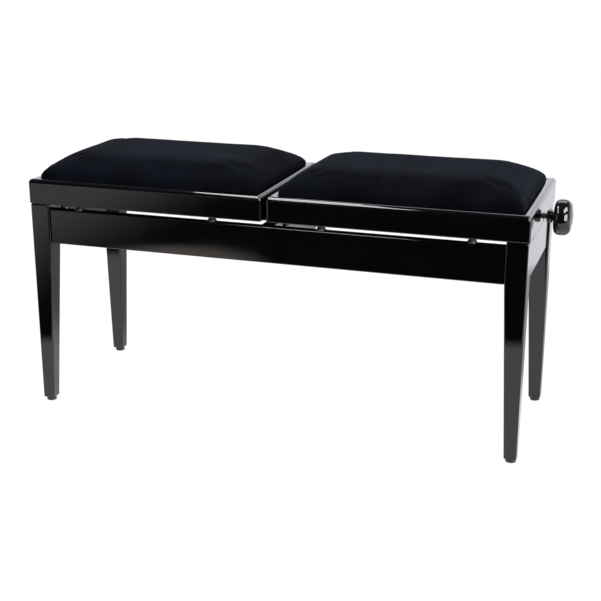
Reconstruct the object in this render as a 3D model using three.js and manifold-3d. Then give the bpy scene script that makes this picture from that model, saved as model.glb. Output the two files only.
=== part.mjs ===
// A duet piano bench: one four-legged stand that carries two upholstered seats side by side.
// Each seat rises and falls by itself on a steel scissor lift, driven by a screw and a knob.
// Millimetres. +X is to the right, +Y to the rear, +Z up. The origin is on the floor under the
// middle of the stand. The seats are drawn at their lowest setting.

import * as THREE from 'three';
import { mergeVertices } from 'three/addons/utils/BufferGeometryUtils.js';
import Module from 'manifold-3d';

// ---- Driving dimensions ----

const touchGap = 0.3; // between pieces that rest on or butt against each other

// Stand
const standLength = 980; // over the legs
const standDepth = 340; // over the legs
const legWidth = 40; // square, above the taper
const footWidth = 24; // square, at the bottom of the taper
const edgeRadius = 3; // on legs and rails
const glideHeight = 7;
const glideDiameter = 20;
const railUnderside = 340; // above the floor, where the legs start to taper
const railHeight = 69.5;
const railThickness = 20;
const railSetback = 3.5; // outer faces of the rails behind those of the legs
const centreRailThickness = 24;

// Seats
const slitHeight = 10; // open slit between the rails and a lowered seat
const legClearance = 0.5; // between a leg's top and a lowered seat
const seatGap = 9; // between the two seats
const seatOverhang = 2; // past the legs
const frameHeight = 48.5;
const rimWidth = 17; // top of the seat frame, beside the cushion
const ledgeWidth = 10; // inside the rim, under the seat board
const frameCornerRadius = 6; // upright corners
const frameTopRadius = 8;
const frameEdgeRadius = 2;
const boardThickness = 12;
const boardClearance = 0.5; // round the edge of the board
const cushionSink = 10; // cushion below the top of the rim
const cushionCrown = 46; // cushion above the top of the rim
const cushionClearance = 1; // between the cushion and the rim
const cushionRadius = 34; // round the top of the cushion
const cushionCornerRadius = 12;

// Rubber buffers on the long rails
const bufferBase = 19;
const bufferTop = 11;
const bufferSpread = 140; // each side of a seat's middle

// Scissor lift
const liftTravel = 100; // from the lowest to the highest setting
const armLength = 350; // between the end pivots
const armRise = 20; // height of an arm's upper pivot over its lower one at the lowest setting
const armEyeWall = 3; // round the axles' holes
const armThickness = 3;
const armGap = 1; // between neighbouring arms, and between an arm and its channel
const channelLegGap = 42; // channels' flanges to the legs, so that the open slit is not blocked
const channelThickness = 2.5;
const channelFlange = 22;
const slotWall = 4; // lower channel's web above an axle
const upperChannelHeight = 24.5;
const fixedPivotInset = 38; // from the centre rail to the fixed pivots
const tabDrop = 16; // end tabs below the lower channels
const channelEndGap = 5; // between the upper channels and the seat frame, at each end
const axleDiameter = 8;
const headWidth = 2; // head past the axle all round
const headThickness = 2;
const headClearance = 0.5; // between an axle's head and the channel's flange
const runningClearance = 0.4; // round axles that turn or slide
const openPivotClearance = 1.2; // round the axles where the linkage is left open

// Screw and knob
const spindleDiameter = 10;
const threadClearance = 1; // between the spindle and the nut's bore
const nutWall = 3; // round the nut's bore
const nutWidth = 30;
const threadOverrun = 12; // spindle past the nut's innermost place
const bearingInset = 22; // bearing plate inside the seat frame's end
const bearingThickness = 3;
const bearingDrop = 4; // bearing plate below the upper channels
const bearingWall = 2; // round the spindle
const bearingFlangeWidth = 3; // past the bearing's body
const bearingFlangeThickness = 2;
const shoulderWidth = 3; // the spindle's shoulder against the bearing
const collarWall = 4; // round the spindle
const collarWidth = 8;
const notchClearance = 2; // round the spindle, in the seat frame's end
const notchHeight = 20;
const hubGap = 6; // seat frame's end to the knob's hub
const hubWall = 7; // round the spindle
const hubLength = 10;
const neckWall = 3; // round the spindle
const neckLength = 3.5;
const knobDiameter = 67;
const knobThickness = 34;
const knobInnerRound = 8;
const knobOuterRound = 12;
const knobDome = 2;
const knobBoreDepth = 30;

// Flats round turned pieces
const roundSegments = 16;
const knobSegments = 28;

// ---- Derived sizes ----

const halfLength = standLength / 2;
const halfDepth = standDepth / 2;
const railTop = railUnderside + railHeight;
const seatBottom = railTop + slitHeight;
const seatTop = seatBottom + frameHeight;
const legTop = seatBottom - legClearance;
const ledgeTop = seatTop - cushionSink - boardThickness - touchGap;
const railFaceY = halfDepth - railSetback; // outer face of the long rails
const railInnerX = halfLength - railSetback - railThickness; // inner face of the end rails
const railInnerY = railFaceY - railThickness;
const channelSpread = halfDepth - legWidth - channelLegGap - channelFlange; // middle plane to web
const armDepth = axleDiameter + 2 * armEyeWall;

const seatInnerX = seatGap / 2;
const seatOuterX = halfLength + seatOverhang;
const seatMiddleX = (seatInnerX + seatOuterX) / 2;
const seatLength = seatOuterX - seatInnerX;
const seatDepth = standDepth + 2 * seatOverhang;

const axleHead = axleDiameter + 2 * headWidth;
const pivotHeight = channelThickness + axleHead / 2 + headClearance; // above a channel's underside
const lowerChannelHeight = pivotHeight + axleDiameter / 2 + slotWall;
const centreRailFace = centreRailThickness / 2;
const pivotX = centreRailFace + fixedPivotInset;
const upperPivotZ = ledgeTop - upperChannelHeight + pivotHeight;
const lowerPivotZ = upperPivotZ - armRise;
const lowerChannelBottom = lowerPivotZ - pivotHeight;
const upperChannelBottom = ledgeTop - upperChannelHeight;
const restAngle = Math.asin(armRise / armLength);
const topAngle = Math.asin((armRise + liftTravel) / armLength);
const slideX = pivotX + armLength * Math.cos(restAngle); // sliding ends at the lowest setting
const slideTopX = pivotX + armLength * Math.cos(topAngle); // and at the highest
const crossX = (pivotX + slideX) / 2;
const crossZ = (lowerPivotZ + upperPivotZ) / 2;

const outerArmY = channelSpread - armGap - armThickness / 2;
const innerArmY = outerArmY - armThickness - armGap;
const axleHalfLength = channelSpread + channelThickness + armGap + headThickness;
const centreAxleHalfLength = outerArmY + armThickness / 2 + touchGap; // just through the arms
const centreCollarFace = innerArmY - armThickness / 2 - armGap / 2;
const nutBore = spindleDiameter + 2 * threadClearance;
const nutDiameter = nutBore + 2 * nutWall;
const bearingOuter = spindleDiameter + 2 * bearingWall;
const bearingFlange = bearingOuter + 2 * bearingFlangeWidth;
const collarDiameter = spindleDiameter + 2 * collarWall;
const notchWidth = spindleDiameter + 2 * notchClearance;
const hubDiameter = spindleDiameter + 2 * hubWall;
const neckDiameter = spindleDiameter + 2 * neckWall;
const bearingX = seatOuterX - rimWidth - ledgeWidth - bearingInset;
const hubX = seatOuterX + hubGap;
const knobX = hubX + hubLength + neckLength;

// ---- Solids ----

const wasm = await Module();
wasm.setup();

/** A closed three.js geometry as a solid that can be cut and joined. */
function toSolid(geometry) {
  const bare = geometry.clone();
  bare.deleteAttribute('normal');
  bare.deleteAttribute('uv');
  const merged = mergeVertices(bare, 1e-4);
  const index = merged.index.array;
  const triangles = [];
  for (let i = 0; i < index.length; i += 3) {
    const [a, b, c] = index.slice(i, i + 3);
    if (a !== b && b !== c && c !== a) {
      triangles.push(a, b, c);
    }
  }
  const vertProperties = new Float32Array(merged.attributes.position.array);
  const triVerts = new Uint32Array(triangles);
  return new wasm.Manifold(new wasm.Mesh({ numProp: 3, vertProperties, triVerts }));
}

/** The solid back as a three.js geometry. */
function toGeometry(solid) {
  const mesh = solid.getMesh();
  const geometry = new THREE.BufferGeometry();
  geometry.setAttribute('position', new THREE.BufferAttribute(mesh.vertProperties, 3));
  geometry.setIndex(new THREE.BufferAttribute(mesh.triVerts, 1));
  geometry.computeVertexNormals();
  return geometry;
}

/** What all the geometries have in common. */
function common(geometries) {
  const [first, ...others] = geometries.map(toSolid);
  return toGeometry(others.reduce((solid, other) => solid.intersect(other), first));
}

/** Joins the first geometries and cuts the second ones out of them. */
function shaped(joined, cut = []) {
  let solid = toSolid(joined[0]);
  for (const geometry of joined.slice(1)) {
    solid = solid.add(toSolid(geometry));
  }
  for (const geometry of cut) {
    solid = solid.subtract(toSolid(geometry));
  }
  return toGeometry(solid);
}

/** A box between two corners. */
function block(low, high) {
  const size = high.map((value, i) => value - low[i]);
  const middle = high.map((value, i) => (value + low[i]) / 2);
  return new THREE.BoxGeometry(...size).translate(...middle);
}

/** A rectangle round its middle, with one radius on its upper corners and one on its lower. */
function roundedRectangle(width, height, radius, lowerRadius = radius) {
  const x = width / 2;
  const y = height / 2;
  const shape = new THREE.Shape();
  shape.absarc(x - radius, y - radius, radius, 0, Math.PI / 2);
  shape.absarc(radius - x, y - radius, radius, Math.PI / 2, Math.PI);
  shape.absarc(lowerRadius - x, lowerRadius - y, lowerRadius, Math.PI, 1.5 * Math.PI);
  shape.absarc(x - lowerRadius, lowerRadius - y, lowerRadius, 1.5 * Math.PI, 2 * Math.PI);
  shape.closePath();
  return shape;
}

/** An upright prism from z = 0 to its height. */
function prism(shape, height, curveSegments = 4) {
  return new THREE.ExtrudeGeometry(shape, { depth: height, curveSegments, bevelEnabled: false });
}

/** Lays an upright prism along +X: its shape's x becomes y, and its shape's y becomes z. */
function alongX(geometry) {
  return geometry.rotateX(Math.PI / 2).rotateZ(Math.PI / 2);
}

/** Lays an upright prism of that height along Y, centred: its shape's y becomes z. */
function alongY(geometry, height) {
  return geometry.translate(0, 0, -height / 2).rotateX(Math.PI / 2);
}

/** A round piece about the Z axis from [radius, z] points that start and end on the axis. */
function turned(points, segments = roundSegments) {
  const profile = points.map(([radius, z]) => new THREE.Vector2(radius, z));
  return new THREE.LatheGeometry(profile, segments).rotateX(Math.PI / 2);
}

/** A plain cylinder along Y between two ends. */
function barY(diameter, from, to) {
  const bar = new THREE.CylinderGeometry(diameter / 2, diameter / 2, to - from, roundSegments);
  return bar.translate(0, (from + to) / 2, 0);
}

/** A plain cylinder along X between two ends. */
function barX(diameter, from, to) {
  return barY(diameter, from, to).rotateZ(-Math.PI / 2);
}

// ---- Materials ----

const lacquer = () => new THREE.MeshStandardMaterial({ color: 0x0a0b0e, roughness: 0.06, metalness: 0 });
const plywood = () => new THREE.MeshStandardMaterial({ color: 0xb58f62, roughness: 0.7, metalness: 0 });
const velvet = () => new THREE.MeshStandardMaterial({ color: 0x10141f, roughness: 0.95, metalness: 0 });
const rubber = () => new THREE.MeshStandardMaterial({ color: 0x2b2b2d, roughness: 0.8, metalness: 0 });
const steel = () => new THREE.MeshStandardMaterial({ color: 0x8d9094, roughness: 0.35, metalness: 1 });
const blackSteel = () => new THREE.MeshStandardMaterial({ color: 0x1a1b1d, roughness: 0.45, metalness: 0.6 });
const nylon = () => new THREE.MeshStandardMaterial({ color: 0xd8d6cc, roughness: 0.5, metalness: 0 });
const bakelite = () => new THREE.MeshStandardMaterial({ color: 0x0b0b0c, roughness: 0.08, metalness: 0 });
const glidePlastic = () => new THREE.MeshStandardMaterial({ color: 0x151515, roughness: 0.5, metalness: 0 });

/** A named mesh at a place in its group. */
function piece(name, geometry, material, position = [0, 0, 0]) {
  const mesh = new THREE.Mesh(geometry, material);
  mesh.name = name;
  mesh.position.set(...position);
  return mesh;
}

// ---- Stand ----

/** A leg for the corner at +X +Y of its own middle: its two outer faces are upright. */
function legGeometry() {
  const section = roundedRectangle(legWidth, legWidth, edgeRadius);
  const upper = prism(section, legTop - railUnderside).translate(0, 0, railUnderside);
  const taper = prism(section, railUnderside - glideHeight).translate(0, 0, glideHeight);
  const corner = legWidth / 2;
  const place = taper.attributes.position;
  for (let i = 0; i < place.count; i += 1) {
    if (place.getZ(i) < railUnderside - 1) {
      const shrink = footWidth / legWidth;
      place.setX(i, corner - (corner - place.getX(i)) * shrink);
      place.setY(i, corner - (corner - place.getY(i)) * shrink);
    }
  }
  return shaped([upper, taper]);
}

function glideGeometry() {
  const radius = glideDiameter / 2;
  const top = glideHeight - touchGap;
  return turned([[0, 0], [radius - 1, 0], [radius, 1], [radius, top], [0, top]]);
}

/** The four legs and the glides under them. */
function legs() {
  const group = new THREE.Group();
  for (const [sideName, x] of [['left', -1], ['right', 1]]) {
    for (const [endName, y] of [['front', -1], ['rear', 1]]) {
      const leg = piece(`leg_${endName}_${sideName}`, legGeometry(), lacquer());
      leg.position.set(x * (halfLength - legWidth / 2), y * (halfDepth - legWidth / 2), 0);
      leg.rotation.z = Math.atan2(y, x) - Math.PI / 4;
      const glide = piece(`glide_${endName}_${sideName}`, glideGeometry(), glidePlastic());
      glide.position.set(x * (halfLength - footWidth / 2), y * (halfDepth - footWidth / 2), 0);
      group.add(leg, glide);
    }
  }
  return group;
}

/** A rail of rectangular section with rounded edges, upright on its long side. */
function railSection(thickness) {
  return roundedRectangle(thickness, railHeight, edgeRadius);
}

/** Long rails, end rails and the rail across the middle. */
function rails() {
  const group = new THREE.Group();
  const middleZ = railUnderside + railHeight / 2;
  const longLength = standLength - 2 * legWidth - 2 * touchGap;
  const endLength = standDepth - 2 * legWidth - 2 * touchGap;
  const crossLength = 2 * (railInnerY - touchGap);
  for (const [name, y] of [['rail_front', -1], ['rail_rear', 1]]) {
    const rail = alongX(prism(railSection(railThickness), longLength));
    const centreY = y * (railFaceY - railThickness / 2);
    group.add(piece(name, rail, lacquer(), [-longLength / 2, centreY, middleZ]));
  }
  for (const [name, x] of [['rail_end_left', -1], ['rail_end_right', 1]]) {
    const rail = alongY(prism(railSection(railThickness), endLength), endLength);
    group.add(piece(name, rail, lacquer(), [x * (railInnerX + railThickness / 2), 0, middleZ]));
  }
  const cross = alongY(prism(railSection(centreRailThickness), crossLength), crossLength);
  group.add(piece('rail_centre', cross, lacquer(), [0, 0, middleZ]));
  return group;
}

/** Rubber cones on the long rails that stop a lowered seat. */
function buffers(side, sideName) {
  const group = new THREE.Group();
  const height = slitHeight - 2 * touchGap;
  const rail = railFaceY - railThickness / 2;
  const base = bufferBase / 2;
  for (const [endName, y] of [['front', -1], ['rear', 1]]) {
    for (const [placeName, place] of [['inner', -1], ['outer', 1]]) {
      const cone = turned([[0, 0], [base, 0], [base, 1], [bufferTop / 2, height], [0, height]]);
      const name = `buffer_${endName}_${placeName}_${sideName}`;
      const x = side * (seatMiddleX + place * bufferSpread);
      group.add(piece(name, cone, rubber(), [x, y * rail, railTop + touchGap]));
    }
  }
  return group;
}

// ---- Seat: frame, board and cushion, drawn for the right-hand side ----

/** A block of the seat's outline between two heights, inset from the outside all round. */
function seatBlock(inset, bottom, top, cornerRadius) {
  const outline = roundedRectangle(seatLength - 2 * inset, seatDepth - 2 * inset, cornerRadius);
  return prism(outline, top - bottom).translate(seatMiddleX, 0, bottom);
}

/** The same block with its top and bottom edges rounded too, mitred at the corners. */
function mouldedBlock(inset, bottom, top, cornerRadius, topRadius, bottomRadius) {
  const length = seatLength - 2 * inset;
  const depth = seatDepth - 2 * inset;
  const height = top - bottom;
  const middleZ = bottom + height / 2;
  const acrossSection = roundedRectangle(depth, height, topRadius, bottomRadius);
  const alongSection = roundedRectangle(length, height, topRadius, bottomRadius);
  return common([
    alongX(prism(acrossSection, length + 2)).translate(seatMiddleX - length / 2 - 1, 0, middleZ),
    alongY(prism(alongSection, depth + 2), depth + 2).translate(seatMiddleX, 0, middleZ),
    seatBlock(inset, bottom - 1, top + 1, cornerRadius),
  ]);
}

/** The lacquered frame: a well for the cushion, a ledge for the board, a notch for the spindle. */
function frameGeometry() {
  const body = mouldedBlock(0, seatBottom, seatTop, frameCornerRadius, frameTopRadius, frameEdgeRadius);
  const well = seatBlock(rimWidth, ledgeTop, seatTop + 1, edgeRadius);
  const opening = seatBlock(rimWidth + ledgeWidth, seatBottom - 1, seatTop + 1, edgeRadius);
  const slotTop = seatBottom + notchHeight - notchWidth / 2;
  const wallInside = seatOuterX - rimWidth - ledgeWidth - 1;
  const half = notchWidth / 2;
  const slot = block([wallInside, -half, seatBottom - 1], [seatOuterX + 1, half, slotTop]);
  const arch = barX(notchWidth, wallInside, seatOuterX + 1).translate(0, 0, slotTop);
  return shaped([body], [well, opening, slot, arch]);
}

function boardGeometry() {
  const bottom = ledgeTop + touchGap;
  return seatBlock(rimWidth + boardClearance, bottom, bottom + boardThickness, edgeRadius);
}

function cushionGeometry() {
  const bottom = ledgeTop + boardThickness + 2 * touchGap;
  const inset = rimWidth + cushionClearance;
  const crown = seatTop + cushionCrown;
  return mouldedBlock(inset, bottom, crown, cushionCornerRadius, cushionRadius, edgeRadius);
}

// ---- Scissor lift, drawn for the right-hand side ----

/** A slot along X through a channel's web, from one axle place to another. */
function slotCut(from, to, z, clearance) {
  const width = axleDiameter + 2 * clearance;
  const reach = 2 * axleHalfLength;
  const ends = [from, to].map((x) => barY(width, -reach, reach).translate(x, 0, z));
  return [...ends, block([from, -reach, z - width / 2], [to, reach, z + width / 2])];
}

/** A riveted stud that an arm turns on, from the channel's web inwards. */
function stud(y, x, z, reach) {
  const from = channelSpread - reach;
  const to = channelSpread + channelThickness / 2;
  const pin = y > 0 ? barY(axleDiameter, from, to) : barY(axleDiameter, -to, -from);
  return pin.translate(x, 0, z);
}

/** A box beside the middle plane, from the channel's web outwards, on the side that y names. */
function besideWeb(y, [fromX, toX], width, [fromZ, toZ]) {
  const near = channelSpread;
  const far = channelSpread + width;
  return block([fromX, y > 0 ? near : -far, fromZ], [toX, y > 0 ? far : -near, toZ]);
}

/** A lower channel: web, flange below, a tab at each end for its screws, and a pivot stud. */
function lowerChannelGeometry(y) {
  const span = [centreRailFace + touchGap, railInnerX - touchGap];
  const top = lowerChannelBottom + lowerChannelHeight;
  const web = besideWeb(y, span, channelThickness, [lowerChannelBottom, top]);
  const flangeTop = lowerChannelBottom + channelThickness;
  const flange = besideWeb(y, span, channelFlange, [lowerChannelBottom, flangeTop]);
  const tabs = [
    [span[0], span[0] + channelThickness],
    [span[1] - channelThickness, span[1]],
  ].map((ends) => besideWeb(y, ends, channelFlange, [lowerChannelBottom - tabDrop, top]));
  const pin = stud(y, pivotX, lowerPivotZ, armGap + armThickness + armGap / 2);
  const slot = slotCut(slideTopX, slideX, lowerPivotZ, runningClearance);
  return shaped([web, flange, ...tabs, pin], slot);
}

/** An upper channel under the seat board: web, flange above, and a pivot stud. */
function upperChannelGeometry(y) {
  const inset = rimWidth + ledgeWidth + channelEndGap;
  const span = [seatInnerX + inset, seatOuterX - inset];
  const web = besideWeb(y, span, channelThickness, [upperChannelBottom, ledgeTop]);
  const flange = besideWeb(y, span, channelFlange, [ledgeTop - channelThickness, ledgeTop]);
  const pin = stud(y, pivotX, upperPivotZ, 2 * (armGap + armThickness) + armGap / 2);
  const slot = slotCut(slideTopX, slideX, upperPivotZ, openPivotClearance);
  return shaped([web, flange, pin], slot);
}

/** A flat arm with round ends, middle at the origin, holes at both ends and in the middle. */
function armGeometry(leftClearance, rightClearance) {
  const half = armLength / 2;
  const bar = new THREE.Shape();
  bar.absarc(half, 0, armDepth / 2, -Math.PI / 2, Math.PI / 2);
  bar.absarc(-half, 0, armDepth / 2, Math.PI / 2, 1.5 * Math.PI);
  bar.closePath();
  const holes = [[-half, leftClearance], [0, runningClearance], [half, rightClearance]];
  for (const [x, clearance] of holes) {
    const hole = new THREE.Path();
    hole.absarc(x, 0, axleDiameter / 2 + clearance, 0, 2 * Math.PI, true);
    bar.holes.push(hole);
  }
  return alongY(prism(bar, armThickness, 6), armThickness);
}

/** Half an axle's outline from its middle out, with the other half mirrored in front of it. */
function axle(half) {
  const mirrored = half.map(([radius, along]) => [radius, -along]).reverse();
  return turned([...mirrored, ...half]).rotateX(-Math.PI / 2);
}

/** A sliding axle along Y with a head at each end, outside the channels it passes through. */
function slideAxleGeometry() {
  const rod = axleDiameter / 2;
  const head = axleHead / 2;
  const neck = axleHalfLength - headThickness;
  return axle([[rod, neck], [head, neck], [head, axleHalfLength], [0, axleHalfLength]]);
}

/** The axle that the arms cross on: a rod through all four arms, with a collar inside each pair. */
function centreAxleGeometry() {
  const rod = axleDiameter / 2;
  const collar = axleHead / 2;
  return axle([
    [rod, centreCollarFace - headThickness], [collar, centreCollarFace - headThickness],
    [collar, centreCollarFace], [rod, centreCollarFace],
    [rod, centreAxleHalfLength], [0, centreAxleHalfLength],
  ]);
}

/** The sliding axle that is also the nut: a thick middle, bored along X for the spindle. */
function crossNutGeometry() {
  const middle = barY(nutDiameter, -nutWidth / 2, nutWidth / 2);
  return shaped([slideAxleGeometry(), middle], [barX(nutBore, -nutDiameter, nutDiameter)]);
}

/** The plate across the upper channels that carries the spindle's bearing. */
function bearingPlateGeometry() {
  const half = channelSpread - touchGap;
  const low = upperChannelBottom - bearingDrop;
  const plate = block([bearingX, -half, low], [bearingX + bearingThickness, half, ledgeTop]);
  const hole = barX(bearingOuter + 2 * touchGap, bearingX - 1, bearingX + bearingThickness + 1);
  return shaped([plate], [hole.translate(0, 0, upperPivotZ)]);
}

/** The flanged bearing, about the X axis, with its flange on the outer side of the plate. */
function bearingGeometry() {
  const face = bearingX + bearingThickness + touchGap;
  const body = barX(bearingOuter, bearingX - 1, face + bearingFlangeThickness);
  const flange = barX(bearingFlange, face, face + bearingFlangeThickness);
  const bore = barX(spindleDiameter + 2 * touchGap, bearingX - 2, face + bearingFlangeThickness + 1);
  return shaped([body, flange], [bore]);
}

// ---- Screw and knob, about the X axis ----

function spindleGeometry() {
  const radius = spindleDiameter / 2;
  const start = slideTopX - nutDiameter / 2 - threadOverrun;
  const end = hubX + knobBoreDepth - 1;
  const shoulder = bearingX + bearingThickness + bearingFlangeThickness + 2 * touchGap;
  return turned([
    [0, start], [radius - 1, start], [radius, start + 1],
    [radius, shoulder], [bearingOuter / 2, shoulder],
    [bearingOuter / 2, shoulder + shoulderWidth], [radius, shoulder + shoulderWidth],
    [radius, end], [0, end],
  ]).rotateY(Math.PI / 2);
}

function collarGeometry() {
  const to = bearingX - 1 - touchGap;
  const ring = barX(collarDiameter, to - collarWidth, to);
  return shaped([ring], [barX(spindleDiameter + 2 * touchGap, to - collarWidth - 1, to + 1)]);
}

/** The knob: a hub, a neck and a thick disc with round edges and a slightly domed face. */
function knobGeometry() {
  const bore = spindleDiameter / 2 + touchGap;
  const hub = hubDiameter / 2;
  const neck = neckDiameter / 2;
  const rim = knobDiameter / 2;
  const innerRound = knobInnerRound;
  const outerRound = knobOuterRound;
  const face = knobX + knobThickness - knobDome;
  const points = [
    [0, hubX + knobBoreDepth], [bore, hubX + knobBoreDepth], [bore, hubX],
    [hub - 2, hubX], [hub, hubX + 2], [hub, hubX + hubLength - 2], [hub - 2, hubX + hubLength],
    [neck, hubX + hubLength + 1], [neck, knobX],
  ];
  const steps = 4;
  for (let i = 0; i <= steps; i += 1) {
    const angle = (i / steps) * (Math.PI / 2);
    points.push([rim - innerRound * (1 - Math.sin(angle)), knobX + innerRound * (1 - Math.cos(angle))]);
  }
  for (let i = 0; i <= steps; i += 1) {
    const angle = (i / steps) * (Math.PI / 2);
    points.push([rim - outerRound * (1 - Math.cos(angle)), face - outerRound * (1 - Math.sin(angle))]);
  }
  points.push([0, face + knobDome]);
  return turned(points, knobSegments).rotateY(Math.PI / 2);
}

// ---- One seat with its lift ----

/** A whole seat. It is drawn for the right; the left one is the same seat turned half round. */
function seat(side, sideName) {
  const group = new THREE.Group();
  group.rotation.z = side > 0 ? 0 : Math.PI;
  const named = (name) => `${name}_${sideName}`;
  const screwLine = [0, 0, upperPivotZ];

  group.add(
    piece(named('seat_frame'), frameGeometry(), lacquer()),
    piece(named('seat_board'), boardGeometry(), plywood()),
    piece(named('cushion'), cushionGeometry(), velvet()),
    piece(named('bearing_plate'), bearingPlateGeometry(), blackSteel()),
    piece(named('spindle_bearing'), bearingGeometry(), nylon(), screwLine),
    piece(named('spindle_collar'), collarGeometry(), steel(), screwLine),
    piece(named('spindle'), spindleGeometry(), steel(), screwLine),
    piece(named('knob'), knobGeometry(), bakelite(), screwLine),
    piece(named('cross_nut'), crossNutGeometry(), steel(), [slideX, 0, upperPivotZ]),
    piece(named('slide_axle'), slideAxleGeometry(), steel(), [slideX, 0, lowerPivotZ]),
    piece(named('centre_axle'), centreAxleGeometry(), steel(), [crossX, 0, crossZ]),
  );
  for (const y of [-1, 1]) {
    const endName = y * side < 0 ? 'front' : 'rear';
    const outerShape = armGeometry(runningClearance, runningClearance);
    const innerShape = armGeometry(openPivotClearance, runningClearance);
    const outerArm = piece(named(`outer_arm_${endName}`), outerShape, blackSteel());
    const innerArm = piece(named(`inner_arm_${endName}`), innerShape, blackSteel());
    outerArm.position.set(crossX, y * outerArmY, crossZ);
    outerArm.rotation.y = -restAngle;
    innerArm.position.set(crossX, y * innerArmY, crossZ);
    innerArm.rotation.y = restAngle;
    group.add(
      piece(named(`lower_channel_${endName}`), lowerChannelGeometry(y), blackSteel()),
      piece(named(`upper_channel_${endName}`), upperChannelGeometry(y), blackSteel()),
      outerArm,
      innerArm,
    );
  }
  return group;
}

// ---- The bench ----

const bench = new THREE.Group();
bench.name = 'duet_piano_bench';
bench.add(legs(), rails());
for (const [sideName, side] of [['left', -1], ['right', 1]]) {
  bench.add(buffers(side, sideName), seat(side, sideName));
}

export default bench;
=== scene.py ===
# %% [markdown]
# # A duet piano bench, dressed over its CAD frame
# The bench is one black lacquered stand that carries two velvet seats side by side. Each seat is
# lifted by its own steel scissor, driven by a screw and a round knob. The CAD model already holds
# every size and every joint, so this lesson only makes what the eye meets: lacquer, velvet, steel,
# rubber, and the soft studio that they reflect.

# %% Load the frame
import math

import bmesh
import bpy
from mathutils import Matrix, Vector, noise


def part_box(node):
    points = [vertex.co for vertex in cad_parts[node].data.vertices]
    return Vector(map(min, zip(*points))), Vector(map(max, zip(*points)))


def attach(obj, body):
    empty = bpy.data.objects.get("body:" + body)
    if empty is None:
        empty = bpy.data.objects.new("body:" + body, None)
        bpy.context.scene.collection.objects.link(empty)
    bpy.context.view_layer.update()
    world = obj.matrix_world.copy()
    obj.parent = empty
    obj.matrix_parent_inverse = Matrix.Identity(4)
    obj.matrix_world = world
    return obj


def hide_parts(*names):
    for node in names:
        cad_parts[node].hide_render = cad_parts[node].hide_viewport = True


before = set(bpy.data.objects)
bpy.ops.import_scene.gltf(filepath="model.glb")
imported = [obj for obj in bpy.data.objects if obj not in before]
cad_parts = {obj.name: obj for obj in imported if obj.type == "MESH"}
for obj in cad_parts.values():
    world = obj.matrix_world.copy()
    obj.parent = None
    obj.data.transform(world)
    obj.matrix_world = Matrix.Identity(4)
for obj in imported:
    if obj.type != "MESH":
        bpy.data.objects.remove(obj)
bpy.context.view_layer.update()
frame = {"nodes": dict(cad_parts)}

MM = 0.001
SIDES = (("left", -1), ("right", 1))
ENDS = (("front", -1), ("rear", 1))

# %% [markdown]
# ## Small tools for making meshes
# Joinery and turned parts come from two moves. A loft joins rings of points, which gives legs,
# rails and boxes. A lathe spins a profile about an axis, which gives knobs, rubber feet and axles.
# Both leave closed meshes, and a bevel then softens every hard edge, because a real edge always
# catches a thin line of light.

# %% Meshes from rings
def object_from(name, bm):
    """A linked object that owns what was drawn in bm."""
    bmesh.ops.recalc_face_normals(bm, faces=bm.faces)
    mesh = bpy.data.meshes.new(name)
    bm.to_mesh(mesh)
    bm.free()
    piece = bpy.data.objects.new(name, mesh)
    bpy.context.scene.collection.objects.link(piece)
    return piece


def lofted(name, rings, closed=False):
    """Rings with the same number of points, joined in order; the ends are capped or meet."""
    bm = bmesh.new()
    loops = [[bm.verts.new(point) for point in ring] for ring in rings]
    pairs = list(zip(loops, loops[1:] + loops[:1])) if closed else list(zip(loops, loops[1:]))
    for one, two in pairs:
        for i in range(len(one)):
            j = (i + 1) % len(one)
            bm.faces.new((one[i], one[j], two[j], two[i]))
    if not closed:
        bm.faces.new(loops[0])
        bm.faces.new(loops[-1])
    return object_from(name, bm)


def boxed(name, low, high):
    """A box between two corners."""
    rings = [
        [(low[0], low[1], z), (high[0], low[1], z), (high[0], high[1], z), (low[0], high[1], z)]
        for z in (low[2], high[2])
    ]
    return lofted(name, rings)


def lathed(name, profile, origin, axis, segments=48):
    """Spins (radius, distance) points about an axis; the first and last points lie on it."""
    turn = Vector((0, 0, 1)).rotation_difference(Vector(axis)).to_matrix().to_4x4()
    place = Matrix.Translation(origin) @ turn
    bm = bmesh.new()
    tips = [bm.verts.new(place @ Vector((0, 0, profile[i][1]))) for i in (0, -1)]
    loops = []
    for radius, along in profile[1:-1]:
        ring = []
        for k in range(segments):
            angle = 2 * math.pi * k / segments
            spot = Vector((radius * math.cos(angle), radius * math.sin(angle), along))
            ring.append(bm.verts.new(place @ spot))
        loops.append(ring)
    for one, two in zip(loops, loops[1:]):
        for k in range(segments):
            j = (k + 1) % segments
            bm.faces.new((one[k], one[j], two[j], two[k]))
    for tip, ring in zip(tips, (loops[0], loops[-1])):
        for k in range(segments):
            bm.faces.new((tip, ring[k], ring[(k + 1) % segments]))
    return object_from(name, bm)


def arc(centre, radius, start, end, steps):
    """Points of a circular arc in the profile plane, angles in degrees."""
    angles = [math.radians(start + (end - start) * i / steps) for i in range(steps + 1)]
    return [(centre[0] + radius * math.cos(a), centre[1] + radius * math.sin(a)) for a in angles]


print("tools: loft, box, lathe and arc are ready")

# %% Soft edges and smooth shading
def softened(piece, width, segments=3):
    """Rounds the hard edges and shades the rest flat, so large faces mirror without ripples."""
    bevel = piece.modifiers.new("soft_edges", "BEVEL")
    bevel.width = width
    bevel.segments = segments
    bevel.limit_method = "ANGLE"
    bevel.angle_limit = math.radians(30)
    piece.data.shade_smooth()
    weighted = piece.modifiers.new("flat_faces", "WEIGHTED_NORMAL")
    weighted.weight = 100
    return piece


def smoothed(piece, angle=35):
    """Smooth shading that keeps corners sharper than the angle."""
    piece.data.shade_smooth()
    piece.data.set_sharp_from_angle(angle=math.radians(angle))
    return piece


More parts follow.
